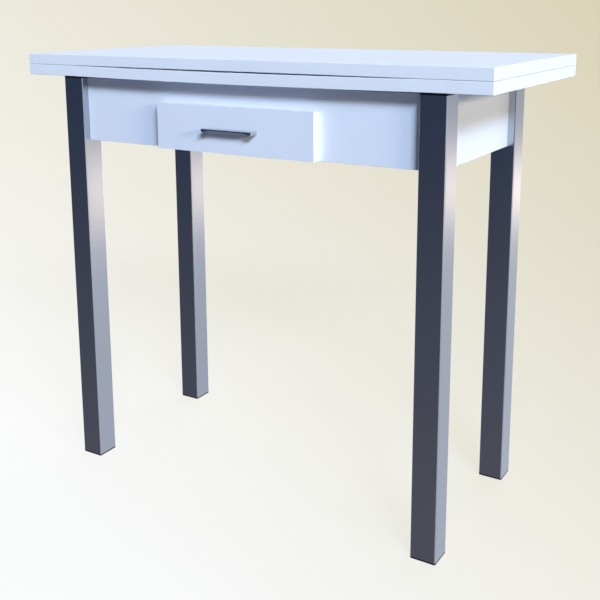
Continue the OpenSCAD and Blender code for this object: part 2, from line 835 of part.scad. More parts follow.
module drawer_side(side_x) {
  groove_half = runner_height / 2 + runner_play;
  color(white) placed() difference() {
    mirror([side_x > 0 ? 0 : 1, 0, 0]) difference() {
      block([box_inner_x, drawer_back_face_y, box_z0], [box_half_x, box_end_y, box_z1]);
      block([box_half_x - runner_groove_depth, drawer_back_face_y - cut, runner_z - groove_half],
            [box_half_x + cut, box_end_y + cut, runner_z + groove_half]);
    }
    bottom_space(0);
    each_box_dowel(pilot_fit);
  }
}

module drawer_back() {
  color(white) placed() difference() {
    block([-box_inner_x, box_end_y - drawer_board, box_z0], [box_inner_x, box_end_y, box_z1]);
    bottom_space(0);
    each_box_dowel(pilot_fit);
  }
}

module drawer_bottom() {
  color(hardboard) placed() bottom_space(drawer_groove_fit);
}

module drawer_dowels() {
  color(beech) placed() each_box_dowel(0);
}

// A flat ledge, arched below between its two ends for the fingertips
module handle() {
  end_x = handle_length / 2;
  arch_x = end_x - handle_post;
  top = handle_height / 2;
  color(chrome) placed() difference() {
    translate([0, drawer_face_y, handle_z]) rotate([90, 0, 0]) linear_extrude(handle_reach)
      polygon([
        [-end_x, top], [-end_x, -top], [-arch_x, -top], [-arch_x + handle_slope, top - handle_thick],
        [arch_x - handle_slope, top - handle_thick], [arch_x, -top], [end_x, -top], [end_x, top]
      ]);
    each_handle_screw() translate([0, 0, -drawer_front_thick]) handle_tap();
  }
}

// Blind threaded hole in an end of the handle, from the drawer front
module handle_tap() {
  translate([0, 0, -handle_screw_bite - pilot_fit])
    cylinder(h = handle_screw_bite + pilot_fit + cut, r = handle_screw_r + pilot_fit);
}

module handle_screws() {
  color(zinc) placed() each_handle_screw() {
    cylinder(h = pan_head_height, r1 = pan_head_r, r2 = pan_flat_r);
    translate([0, 0, -drawer_front_thick - handle_screw_bite])
      cylinder(h = drawer_front_thick + handle_screw_bite, r = handle_screw_r);
  }
}

leg(front, left);  // leg_front_left
leg(front, right);  // leg_front_right
leg(back, left);  // leg_back_left
leg(back, right);  // leg_back_right
foot_cap(front, left);  // foot_cap_front_left
foot_cap(front, right);  // foot_cap_front_right
foot_cap(back, left);  // foot_cap_back_left
foot_cap(back, right);  // foot_cap_back_right
top_cap(front, left);  // top_cap_front_left
top_cap(front, right);  // top_cap_front_right
top_cap(back, left);  // top_cap_back_left
top_cap(back, right);  // top_cap_back_right
front_rail();
back_rail();
side_rail(left);  // left_rail
side_rail(right);  // right_rail
corner_bracket(front, left);  // corner_bracket_front_left
corner_bracket(front, right);  // corner_bracket_front_right
corner_bracket(back, left);  // corner_bracket_back_left
corner_bracket(back, right);  // corner_bracket_back_right
nut_blocks();
bracket_bolts();
bracket_screws();
pivot_board();
pivot_bush();
stop_pin();
runner_board(left);  // runner_board_left
runner_board(right);  // runner_board_right
runner(left);  // runner_left
runner(right);  // runner_right
runner_screws();
angle_brackets();
angle_screws();
pivot_plate();
pivot_plate_screws();
pivot_washer();
pivot_nut();
leaf_board(false);  // lower_leaf
leaf_band(false);  // lower_leaf_band
hinge_halves(false);  // hinge_lower_halves
hinge_pins();
hinge_screws(false);  // hinge_lower_screws
leaf_board(true);  // upper_leaf
leaf_band(true);  // upper_leaf_band
hinge_halves(true);  // hinge_upper_halves
hinge_screws(true);  // hinge_upper_screws
drawer_front();
drawer_side(left);  // drawer_side_left
drawer_side(right);  // drawer_side_right
drawer_back();
drawer_bottom();
drawer_dowels();
handle();
handle_screws();
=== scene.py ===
"""Folding kitchen table: its finished pieces, their finishes, the studio and the camera.

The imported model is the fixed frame. Each piece is made in its place on that frame, in metres, takes its
sizes from the frame's own nodes, and rides on the body that carries it.
"""

import logging
import math
from collections.abc import Callable, Iterator
from contextlib import contextmanager
from dataclasses import dataclass
from enum import Enum
from functools import cache

import bmesh
import bpy
import numpy as np
from mathutils import Matrix, Vector


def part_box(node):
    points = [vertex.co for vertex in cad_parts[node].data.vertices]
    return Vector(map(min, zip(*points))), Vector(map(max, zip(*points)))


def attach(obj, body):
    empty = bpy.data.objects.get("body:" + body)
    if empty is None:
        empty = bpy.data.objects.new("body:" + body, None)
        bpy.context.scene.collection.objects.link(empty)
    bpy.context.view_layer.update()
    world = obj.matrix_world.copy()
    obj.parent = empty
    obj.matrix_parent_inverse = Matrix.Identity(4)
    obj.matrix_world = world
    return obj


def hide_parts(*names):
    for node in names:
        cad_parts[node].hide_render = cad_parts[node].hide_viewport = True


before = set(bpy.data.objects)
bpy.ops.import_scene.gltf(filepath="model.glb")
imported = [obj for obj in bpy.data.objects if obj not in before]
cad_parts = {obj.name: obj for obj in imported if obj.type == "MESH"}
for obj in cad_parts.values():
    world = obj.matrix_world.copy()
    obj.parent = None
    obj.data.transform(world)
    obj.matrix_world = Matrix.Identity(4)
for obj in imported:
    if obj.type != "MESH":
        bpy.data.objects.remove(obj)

log = logging.getLogger("table")

Colour = tuple[float, float, float]
Triple = tuple[float, float, float]
Pair = tuple[float, float]
Step = tuple[Triple, Triple, Triple]
Piece = bpy.types.Object
Socket = bpy.types.NodeSocket
Test = Callable[[Vector, Vector], bool]

MILLIMETRE = 0.001
MERGE = 2e-6
FLAT = math.radians(1)
SMOOTH = math.radians(50)
SHARP = math.radians(40)
SQUARE = 0.9
UPRIGHT = 0.99
UP = Vector((0, 0, 1))


class Body(Enum):
    """The bodies that pieces ride on."""

    FRAME = "frame"
    LOWER = "lower_leaf"
    UPPER = "upper_leaf"
    DRAWER = "drawer"


class Slot(Enum):
    """The record's material slots for the new pieces, listed here but not given to them."""

    MELAMINE = "white_melamine"
    BAND = "edge_band"
    LEG = "leg_chrome"
    BLACK = "black_plastic"
    ZINC = "zinc_steel"
    CHROME = "handle_chrome"


class Join(Enum):
    """How two solids are put together."""

    CUT = "DIFFERENCE"
    UNITE = "UNION"
    KEEP = "INTERSECT"


def select_only(*pieces: Piece) -> None:
    """Deselects everything, then selects the given pieces and makes the first one active.

    Args:
        pieces: the objects to select.
    """
    bpy.ops.object.select_all(action="DESELECT")
    for piece in pieces:
        piece.select_set(True)
    bpy.context.view_layer.objects.active = pieces[0]


@contextmanager
def bench(piece: Piece, kind: str = "FACE", whole: bool = False) -> Iterator[None]:
    """Opens a piece in edit mode with nothing or all of it selected, and closes it again.

    Args:
        piece: the object to shape.
        kind: the select mode, VERT, EDGE or FACE.
        whole: whether all of it is selected.
    """
    select_only(piece)
    bpy.ops.object.mode_set(mode="EDIT")
    bpy.ops.mesh.select_mode(type=kind)
    bpy.ops.mesh.select_all(action="SELECT" if whole else "DESELECT")
    yield
    bpy.ops.object.mode_set(mode="OBJECT")


def pick_faces(piece: Piece, wanted: Test) -> None:
    """Selects faces of a piece that is open in edit mode.

    Args:
        piece: the object.
        wanted: a test of a face's centre and normal.
    """
    mesh = bmesh.from_edit_mesh(piece.data)
    for face in mesh.faces:
        if wanted(face.calc_center_median(), face.normal):
            face.select_set(True)
    bmesh.update_edit_mesh(piece.data)


def pick_edges(piece: Piece, wanted: Test, turns: Pair) -> None:
    """Selects edges of a piece that is open in edit mode.

    Args:
        piece: the object.
        wanted: a test of an edge's two ends.
        turns: the least and the most angle between the edge's faces.
    """
    mesh = bmesh.from_edit_mesh(piece.data)
    for edge in mesh.edges:
        if not edge.is_manifold:
            continue
        if turns[0] <= edge.calc_face_angle() <= turns[1] and wanted(edge.verts[0].co, edge.verts[1].co):
            edge.select_set(True)
    bmesh.update_edit_mesh(piece.data)


def soften(
    piece: Piece,
    radius: float,
    steps: int,
    wanted: Test | None,
    shortest: float = 0.0,
    turns: Pair = (SHARP, math.pi),
) -> None:
    """Rounds the sharp edges of a piece.

    Args:
        piece: the object.
        radius: the width of the rounding.
        steps: how many strips the rounding has.
        wanted: a test of an edge's two ends, or None for every edge.
        shortest: edges shorter than this stay as they are.
        turns: the least and the most angle between an edge's faces.
    """

    def chosen(start: Vector, end: Vector) -> bool:
        """Whether an edge is long enough and passes the test."""
        return (end - start).length >= shortest and (wanted is None or wanted(start, end))

    with bench(piece, "EDGE"):
        pick_edges(piece, chosen, turns)
        bpy.ops.mesh.bevel(offset=radius, segments=steps, affect="EDGES", clamp_overlap=True)


def tidy_mesh(piece: Piece) -> None:
    """Merges a piece's doubled points and turns its faces outwards.

    Args:
        piece: the object.
    """
    with bench(piece, whole=True):
        bpy.ops.mesh.remove_doubles(threshold=MERGE)
        bpy.ops.mesh.normals_make_consistent(inside=False)


def apply_modifier(piece: Piece, kind: str, **settings: object) -> None:
    """Adds a modifier to a piece and applies it at once.

    Args:
        piece: the object.
        kind: the modifier's type.
        settings: the modifier's own settings.
    """
    select_only(piece)
    modifier = piece.modifiers.new(kind.lower(), kind)
    for key, value in settings.items():
        setattr(modifier, key, value)
    bpy.ops.object.modifier_apply(modifier=modifier.name)


def settle(name: str) -> Piece:
    """Puts the active object's place, turn and scale into its mesh, and names it.

    Args:
        name: its name.

    Returns:
        The object.
    """
    bpy.ops.object.transform_apply(location=True, rotation=True, scale=True)
    bpy.context.object.name = name
    return bpy.context.object


def linked(name: str, data: bpy.types.ID) -> Piece:
    """Makes an object of a mesh, a lamp or a camera, and puts it in the scene.

    Args:
        name: the object's name.
        data: the mesh, lamp or camera.

    Returns:
        The new object.
    """
    made = bpy.data.objects.new(name, data)
    bpy.context.scene.collection.objects.link(made)
    return made


def block(name: str, low: Triple | Vector, high: Triple | Vector) -> Piece:
    """Makes a block between two opposite corners.

    Args:
        name: the object's name.
        low: the lowest corner.
        high: the highest corner.

    Returns:
        The new object.
    """
    low, high = Vector(low), Vector(high)
    bpy.ops.mesh.primitive_cube_add(size=1, location=(low + high) / 2, scale=high - low)
    return settle(name)


def turned(name: str, radii: Pair, heights: Pair, sides: int) -> Piece:
    """Makes a round or many-sided bar about the Z axis.

    Args:
        name: the object's name.
        radii: the radius at the foot and at the head.
        heights: the Z of the foot and of the head.
        sides: how many sides it has.

    Returns:
        The new object.
    """
    foot, head = heights
    bpy.ops.mesh.primitive_cone_add(
        vertices=sides, radius1=radii[0], radius2=radii[1], depth=head - foot,
        location=(0, 0, (foot + head) / 2),
    )
    return settle(name)


def combine(piece: Piece, tool: Piece, how: Join) -> None:
    """Cuts, unites or intersects a piece with a tool, which is used up."""
    apply_modifier(piece, "BOOLEAN", operation=how.value, solver="EXACT", object=tool)
    bpy.data.objects.remove(tool, do_unlink=True)


def lift_faces(piece: Piece, wanted: Test, steps: list[Step]) -> None:
    """Extrudes chosen faces in steps, each with a move and a scale about a centre.

    Args:
        piece: the object.
        wanted: a test of a face's centre and normal.
        steps: the move, scale and centre of each step.
    """
    with bench(piece):
        pick_faces(piece, wanted)
        for move, scale, centre in steps:
            bpy.ops.mesh.extrude_region_move(TRANSFORM_OT_translate={"value": move})
            bpy.ops.transform.resize(value=scale, center_override=centre)


def slice_through(piece: Piece, point: Triple, normal: Triple) -> None:
    """Cuts new edges into a piece, where the plane through a point passes through it."""
    with bench(piece, whole=True):
        bpy.ops.mesh.bisect(plane_co=point, plane_no=normal)


def carried_over(name: str, node: str) -> Piece:
    """Copies a node's mesh into a new piece, with its points merged and its flat faces whole.

    Args:
        name: the new object's name.
        node: the node to copy.

    Returns:
        The new object.
    """
    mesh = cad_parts[node].data.copy()
    mesh.materials.clear()
    piece = linked(name, mesh)
    with bench(piece, whole=True):
        bpy.ops.mesh.customdata_custom_splitnormals_clear()
        bpy.ops.mesh.remove_doubles(threshold=MERGE)
        bpy.ops.mesh.dissolve_limited(angle_limit=FLAT)
    return piece


def mirrored(piece: Piece, name: str, source: str, target: str) -> Piece:
    """Copies a piece from one node's place to its mirrored twin's.

    Args:
        piece: the finished object at the first node.
        name: the copy's name.
        source: the first node.
        target: the twin, on the other side of the X or Y axis, or of both.

    Returns:
        The copy.
    """
    middle, other = (sum(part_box(node), Vector()) / 2 for node in (source, target))
    flips = [-1 if side_of(source)[axis] != side_of(target)[axis] else 1 for axis in (0, 1)]
    copy = linked(name, piece.data.copy())
    turn = Matrix.Diagonal((flips[0], flips[1], 1, 1))
    copy.data.transform(Matrix.Translation(other) @ turn @ Matrix.Translation(-middle))
    if flips[0] * flips[1] < 0:
        copy.data.flip_normals()
    return copy


def side_of(node: str) -> tuple[bool, bool]:
    """Whether a corner's node is on the right, and whether it is at the back."""
    return node.endswith("right"), "_back_" in node


@dataclass(frozen=True)
class Seat:
    """Where one fastener sits, and its sizes.

    Attributes:
        head: the middle of the outer end of its head.
        outward: the way its head points.
        length: its length over all.
        head_r: its largest radius.
        shank_r: its radius at the far end.
    """

    head: Vector
    outward: Vector
    length: float
    head_r: float
    shank_r: float

    def matrix(self) -> Matrix:
        """The place of a fastener that is modelled with its head's outer end on the origin, pointing up."""
        return Matrix.Translation(self.head) @ UP.rotation_difference(self.outward).to_matrix().to_4x4()


def solids_of(node: str) -> list[np.ndarray]:
    """Finds the separate solids of a node.

    Args:
        node: the node's name.

    Returns:
        The points of each solid.
    """
    mesh = bmesh.new()
    mesh.from_mesh(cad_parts[node].data)
    bmesh.ops.remove_doubles(mesh, verts=mesh.verts, dist=MERGE)
    mesh.verts.index_update()
    seen: set[int] = set()
    found = []
    for start in mesh.verts:
        if start.index in seen:
            continue
        seen.add(start.index)
        reached = [start]
        for vert in reached:
            for edge in vert.link_edges:
                other = edge.other_vert(vert)
                if other.index not in seen:
                    seen.add(other.index)
                    reached.append(other)
        found.append(np.array([vert.co for vert in reached]))
    mesh.free()
    return found


def seats(node: str) -> list[Seat]:
    """Finds the place and the sizes of each fastener of a node.

    Args:
        node: a node of separate round fasteners.

    Returns:
        One seat for each.
    """
    found = []
    tip_share = 0.1
    for points in solids_of(node):
        middle = points.mean(0)
        axis = np.linalg.svd(points - middle, full_matrices=False)[2][0]
        along = (points - middle) @ axis
        radii = np.linalg.norm(points - middle - np.outer(along, axis), axis=1)
        if along[radii.argmax()] < (along.max() + along.min()) / 2:
            axis, along = -axis, -along
        far = radii[along < along.min() + tip_share * np.ptp(along)]
        head = Vector(middle + axis * along.max())
        found.append(Seat(head, Vector(axis), float(np.ptp(along)), float(radii.max()), float(far.max())))
    return found


class Wiring:
    """Adds nodes to one shader tree and joins them."""

    def __init__(self, tree: bpy.types.NodeTree) -> None:
        """Works on the given tree."""
        self.tree = tree

    def add(
        self, kind: str, inputs: dict[str | int, object] | None = None, **settings: object
    ) -> bpy.types.Node:
        """Adds a node.

        Args:
            kind: the end of the node's type name.
            inputs: a value or another node's socket for each named input.
            settings: the node's own settings.

        Returns:
            The new node.
        """
        node = self.tree.nodes.new("ShaderNode" + kind)
        for key, value in settings.items():
            setattr(node, key, value)
        for key, value in (inputs or {}).items():
            if isinstance(value, Socket):
                self.tree.links.new(value, node.inputs[key])
            else:
                node.inputs[key].default_value = value
        return node

    def group(self, tree: bpy.types.NodeTree, values: dict[str, object]) -> Socket:
        """Adds a shared node group, and gives its one output."""
        return self.add("Group", values, node_tree=tree).outputs[0]

    def number(self, operation: str, *values: object) -> Socket:
        """The result of a sum with numbers."""
        return self.add("Math", dict(enumerate(values)), operation=operation).outputs[0]

    def dot(self, first: object, second: object) -> Socket:
        """How far one direction goes along another."""
        return self.add("VectorMath", {0: first, 1: second}, operation="DOT_PRODUCT").outputs["Value"]

    def place(self, stretch: Socket) -> Socket:
        """The point of the piece being shaded, with each axis scaled."""
        spot = self.add("TexCoord").outputs["Object"]
        return self.add("VectorMath", {0: spot, 1: stretch}, operation="MULTIPLY").outputs[0]

    def blend(self, share: Socket, first: object, second: object) -> Socket:
        """Mixes two colours or sockets, by how much of the second shows."""
        ends = [end if isinstance(end, Socket) else (*end, 1) for end in (first, second)]
        return self.add("Mix", {0: share, 6: ends[0], 7: ends[1]}, data_type="RGBA").outputs[2]

    def remap(self, value: Socket, low: object, high: object, span: Pair = (0.3, 0.7)) -> Socket:
        """Stretches a value from one span to another, and stops at its ends."""
        inputs = {"Value": value, "From Min": span[0], "From Max": span[1], "To Min": low, "To Max": high}
        return self.add("MapRange", inputs).outputs["Result"]


def new_group(name: str, inputs: dict[str, object], output: str) -> tuple[Wiring, dict, Socket]:
    """Starts a shader node group with one output.

    Args:
        name: the group's name.
        inputs: the default of each input, a number or a vector.
        output: the output's name, Normal for a vector and any other for a number.

    Returns:
        The group's wiring, its input sockets by name, and the socket that takes its output.
    """
    tree = bpy.data.node_groups.new(name, "ShaderNodeTree")
    for key, value in inputs.items():
        kind = "NodeSocketFloat" if isinstance(value, float) else "NodeSocketVector"
        tree.interface.new_socket(key, in_out="INPUT", socket_type=kind).default_value = value
    kind = "NodeSocketVector" if output == "Normal" else "NodeSocketFloat"
    tree.interface.new_socket(output, in_out="OUTPUT", socket_type=kind)
    entry = tree.nodes.new("NodeGroupInput")
    leave = tree.nodes.new("NodeGroupOutput")
    return Wiring(tree), {key: entry.outputs[key] for key in inputs}, leave.inputs[output]


@cache
def soft_clouds() -> bpy.types.NodeTree:
    """A value that drifts slowly over the surface, between Low and High.

    Returns:
        The shared node group.
    """
    inputs = {"Scale": 4.0, "Stretch": (1, 1, 1), "Low": 0.0, "High": 1.0}
    wiring, given, output = new_group("soft_clouds", inputs, "Value")
    spot = wiring.place(given["Stretch"])
    noise = wiring.add("TexNoise", {"Vector": spot, "Scale": given["Scale"], "Detail": 3.0})
    value = wiring.remap(noise.outputs["Fac"], given["Low"], given["High"])
    wiring.tree.links.new(value, output)
    return wiring.tree


@cache
def fine_grain() -> bpy.types.NodeTree:
    """A fine bump: pearls where Stretch is even, and drawn lines where one axis is short.

    Returns:
        The shared node group.
    """
    inputs = {"Scale": 900.0, "Stretch": (1, 1, 1), "Height": 0.00002}
    wiring, given, output = new_group("fine_grain", inputs, "Normal")
    spot = wiring.place(given["Stretch"])
    noise = wiring.add("TexNoise", {"Vector": spot, "Scale": given["Scale"], "Detail": 2.0})
    height = {"Height": noise.outputs["Fac"], "Distance": given["Height"], "Strength": 1.0}
    wiring.tree.links.new(wiring.add("Bump", height).outputs["Normal"], output)
    return wiring.tree


@cache
def specks() -> bpy.types.NodeTree:
    """A mask of small scattered specks, more of them as Share grows.

    Returns:
        The shared node group.
    """
    inputs = {"Scale": 300.0, "Stretch": (1, 1, 1), "Share": 0.1}
    wiring, given, output = new_group("specks", inputs, "Mask")
    spot = wiring.place(given["Stretch"])
    cells = wiring.add("TexVoronoi", {"Vector": spot, "Scale": given["Scale"]})
    split = wiring.add("SeparateColor", {"Color": cells.outputs["Color"]})
    few = wiring.number("LESS_THAN", split.outputs[0], given["Share"])
    speck_radius = 0.42
    near = wiring.number("LESS_THAN", cells.outputs["Distance"], speck_radius)
    wiring.tree.links.new(wiring.number("MULTIPLY", few, near), output)
    return wiring.tree


@cache
def year_rings() -> bpy.types.NodeTree:
    """A mask of wavy grain lines along the axis that Stretch makes short.

    Returns:
        The shared node group.
    """
    wiring, given, output = new_group("year_rings", {"Scale": 60.0, "Stretch": (1, 1, 1)}, "Mask")
    spot = wiring.place(given["Stretch"])
    wave = {"Vector": spot, "Scale": given["Scale"], "Detail": 5.0, "Distortion": 0.6}
    value = wiring.add("TexNoise", wave).outputs["Fac"]
    wiring.tree.links.new(wiring.remap(value, 0.0, 1.0, (0.35, 0.65)), output)
    return wiring.tree


@dataclass(frozen=True)
class Finish:
    """A finish that varies over the surface in colour, gloss and bump.

    Attributes:
        name: the material's name.
        colour: the main colour.
        shade: the colour that it drifts to.
        gloss: the least and the most roughness.
        cloud_scale: how close together the drifts of colour lie, per metre.
        grain_scale: how close together the bumps lie, per metre.
        grain_height: how high the bumps are.
        stretch: the scale of the bumps on each axis.
        metallic: 1 for bare metal.
    """

    name: str
    colour: Colour
    shade: Colour
    gloss: Pair
    cloud_scale: float = 4.0
    grain_scale: float = 900.0
    grain_height: float = 0.00002
    stretch: Triple = (1, 1, 1)
    metallic: float = 0.0

    def grain(self, wiring: Wiring) -> Socket:
        """The bumped normal of the surface."""
        values = {"Scale": self.grain_scale, "Stretch": self.stretch, "Height": self.grain_height}
        return wiring.group(fine_grain(), values)

    def clouds(self, wiring: Wiring, scale: float, low: float, high: float) -> Socket:
        """A value that drifts between low and high."""
        values = {"Scale": scale, "Stretch": self.stretch, "Low": low, "High": high}
        return wiring.group(soft_clouds(), values)

    def paint(self, wiring: Wiring) -> Socket:
        """The colour of the surface."""
        return wiring.blend(self.clouds(wiring, self.cloud_scale, 0, 1), self.colour, self.shade)

    @cache
    def material(self) -> bpy.types.Material:
        """Makes the finish as a material, once.

        Returns:
            The material.
        """
        made = bpy.data.materials.new(self.name)
        made.use_nodes = True
        made.diffuse_color = (*self.colour, 1)
        wiring = Wiring(made.node_tree)
        gloss_scale = 3 * self.cloud_scale
        shader = made.node_tree.nodes["Principled BSDF"]
        shader.inputs["Metallic"].default_value = self.metallic
        links = made.node_tree.links
        links.new(self.paint(wiring), shader.inputs["Base Color"])
        links.new(self.clouds(wiring, gloss_scale, *self.gloss), shader.inputs["Roughness"])
        links.new(self.grain(wiring), shader.inputs["Normal"])
        return made


@dataclass(frozen=True)
class Chipboard(Finish):
    """Raw chipboard: pressed chips of several browns.

    Attributes:
        chip: the colour of the pale chips.
    """

    chip: Colour = (0.60, 0.44, 0.26)

    def paint(self, wiring: Wiring) -> Socket:
        """Pale chips scattered over darker dust.

        Args:
            wiring: the shader tree to work in.

        Returns:
            The colour.
        """
        base = super().paint(wiring)
        mask = wiring.group(specks(), {"Scale": 420.0, "Stretch": (1, 1, 2.5), "Share": 0.45})
        return wiring.blend(mask, base, self.chip)


@dataclass(frozen=True)
class Timber(Finish):
    """Sanded beech, with its grain along one axis and short dark flecks.

    Attributes:
        fleck: the colour of the flecks.
    """

    fleck: Colour = (0.40, 0.24, 0.12)

    def paint(self, wiring: Wiring) -> Socket:
        """Grain lines with flecks.

        Args:
            wiring: the shader tree to work in.

        Returns:
            The colour.
        """
        rings = wiring.group(year_rings(), {"Scale": 70.0, "Stretch": self.stretch})
        base = wiring.blend(rings, self.colour, self.shade)
        share = wiring.group(specks(), {"Scale": 500.0, "Stretch": self.stretch, "Share": 0.12})
        return wiring.blend(share, base, self.fleck)


@dataclass(frozen=True)
class FacedBoard(Finish):
    """Thin hardboard: white on its upper face and brown fibre elsewhere.

    Attributes:
        fibre: the fibre's colour.
        fuzz: the colour that the fibre drifts to.
    """

    fibre: Colour = (0.24, 0.13, 0.07)
    fuzz: Colour = (0.33, 0.20, 0.11)

    def paint(self, wiring: Wiring) -> Socket:
        """White where the face looks up, and fibre elsewhere.

        Args:
            wiring: the shader tree to work in.

        Returns:
            The colour.
        """
        white = super().paint(wiring)
        share = self.clouds(wiring, scale=700.0, low=0, high=1)
        brown = wiring.blend(share, self.fibre, self.fuzz)
        normal = wiring.add("TexCoord").outputs["Normal"]
        height = wiring.add("SeparateXYZ", {0: normal}).outputs["Z"]
        looks_up = 0.5
        return wiring.blend(wiring.number("GREATER_THAN", height, looks_up), brown, white)


@dataclass(frozen=True)
class Plated(Finish):
    """Bright zinc plating: grey metal with a faint bloom of blue and straw.

    Attributes:
        bloom: the colour of the bloom.
    """

    bloom: Colour = (0.70, 0.66, 0.56)

    def paint(self, wiring: Wiring) -> Socket:
        """Grey with bloom."""
        share = self.clouds(wiring, scale=45.0, low=0.0, high=0.45)
        return wiring.blend(share, super().paint(wiring), self.bloom)


class Finishes:
    """Every finish of the table."""

    melamine = Finish(
        "satin_melamine", (0.79, 0.83, 0.91), (0.76, 0.80, 0.89), (0.33, 0.42), 3.0, 1500.0, 0.000012
    )
    band = Finish(
        "white_edge_band", (0.84, 0.87, 0.92), (0.81, 0.84, 0.90), (0.36, 0.46), 9.0, 700.0, 0.00001
    )
    leg = Finish(
        "satin_chrome", (0.50, 0.53, 0.60), (0.46, 0.49, 0.56), (0.16, 0.24), 2.5, 1400.0, 0.000004,
        (1, 1, 0.02), 1.0,
    )
    black = Finish(
        "moulded_black", (0.010, 0.010, 0.012), (0.018, 0.018, 0.020), (0.42, 0.60), 30.0, 2600.0, 0.00002
    )
    zinc = Plated(
        "zinc_plated_steel", (0.60, 0.62, 0.66), (0.50, 0.52, 0.56), (0.26, 0.42), 25.0, 1200.0, 0.000008,
        (1, 1, 1), 1.0,
    )
    chrome = Finish(
        "polished_chrome", (0.66, 0.69, 0.74), (0.60, 0.63, 0.69), (0.06, 0.14), 20.0, 900.0, 0.000002,
        (1, 1, 1), 1.0,
    )
    nylon = Finish(
        "natural_nylon", (0.80, 0.79, 0.72), (0.74, 0.73, 0.66), (0.38, 0.50), 20.0, 1800.0, 0.00001
    )
    beech = Timber(
        "sanded_beech", (0.62, 0.42, 0.25), (0.50, 0.32, 0.18), (0.48, 0.62), 5.0, 800.0, 0.00003,
        (1, 0.06, 1),
    )
    chipboard = Chipboard(
        "raw_chipboard", (0.42, 0.29, 0.16), (0.34, 0.22, 0.12), (0.70, 0.85), 40.0, 600.0, 0.00012
    )
    hardboard = FacedBoard(
        "faced_hardboard", (0.74, 0.75, 0.76), (0.70, 0.71, 0.72), (0.45, 0.60), 12.0, 900.0, 0.00003
    )


def cut_face(piece: Piece) -> Test:
    """A test that finds the faces inside a piece's grooves, holes and recesses.

    Args:
        piece: the object.

    Returns:
        A test of a face's centre and normal.
    """
    margin = 0.0012
    points = np.array([vert.co for vert in piece.data.vertices])
    low, high = points.min(0), points.max(0)

    def inside(centre: Vector, normal: Vector) -> bool:
        """Tells whether a face lies deeper than the margin.

        Args:
            centre: the face's centre.
            normal: the way that it looks.

        Returns:
            Whether it lies under the outer face of its side, or, if it is slanted, between all six.
        """
        axis = int(np.argmax(np.abs(normal)))
        if abs(normal[axis]) > SQUARE:
            outer = high[axis] if normal[axis] > 0 else low[axis]
            return abs(outer - centre[axis]) > margin
        return bool(((np.array(centre) - low > margin) & (high - centre > margin)).all())

    return inside


def finish_piece(
    piece: Piece,
    body: Body,
    finish: Finish,
    nodes: tuple[str, ...],
    core: Finish | None = None,
    is_core: Test | None = None,
) -> None:
    """Dresses a piece, smooths its round faces and puts it on its body.

    Args:
        piece: the object, in its place.
        body: the body that carries it.
        finish: the finish of its outside.
        nodes: the nodes that it stands for.
        core: the finish of its cut faces, if they differ.
        is_core: a test of a face's centre and normal, for the core.
    """
    select_only(piece)
    bpy.ops.object.shade_smooth_by_angle(angle=SMOOTH)
    apply_modifier(piece, "WEIGHTED_NORMAL", keep_sharp=True)
    piece.data.materials.clear()
    piece.data.materials.append(finish.material())
    if core is not None:
        piece.data.materials.append(core.material())
        test = is_core or cut_face(piece)
        for face in piece.data.polygons:
            face.material_index = int(test(face.center, face.normal))
    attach(piece, body.value)
    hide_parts(*nodes)
    log.info("%s: %d faces, on %s", piece.name, len(piece.data.polygons), body.value)


def dress_node(node: str, finish: Finish) -> None:
    """Gives a node of the frame a finish in place of its plain colour.

    Args:
        node: the node, which stays as it is.
        finish: its finish.
    """
    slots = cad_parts[node].data.materials
    slots.clear()
    slots.append(finish.material())
    log.info("%s: kept, %s", node, finish.name)


CORNERS = ("front_left", "front_right", "back_left", "back_right")


